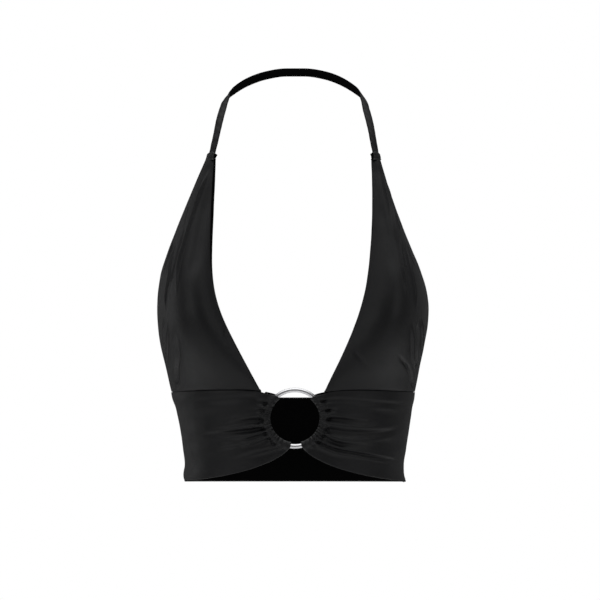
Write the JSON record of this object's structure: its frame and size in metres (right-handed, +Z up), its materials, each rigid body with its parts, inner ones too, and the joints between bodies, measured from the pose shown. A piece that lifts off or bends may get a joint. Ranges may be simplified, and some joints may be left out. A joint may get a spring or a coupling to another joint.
{
  "type": "halter-neck crop top with a front ring, in its worn form",
  "caption": "Halter crop top in its hollow, worn form: soft cups above a band that is gathered onto a metal ring at centre front, held up by a narrow strap round the neck.",
  "frame": {"origin": "middle of the neck strap's inner face at centre back, where the wearer's neck holds the top up", "axes": "+Z up, the front of the top towards -Y, the wearer's left towards +X"},
  "size_m": [0.2737, 0.207, 0.4302],
  "materials": {
    "cloth": "black stretch jersey with a soft satin sheen",
    "strap_cloth": "black jersey, folded and sewn flat",
    "chrome": "polished chrome plate"
  },
  "bodies": {
    "root": {"right_cup": "cloth", "left_cup": "cloth", "right_front_band": "cloth", "left_front_band": "cloth", "back_band": "cloth", "right_top_fold": "cloth", "left_top_fold": "cloth", "neck_strap": "strap_cloth", "ring": "chrome"}
  },
  "joints": []
}
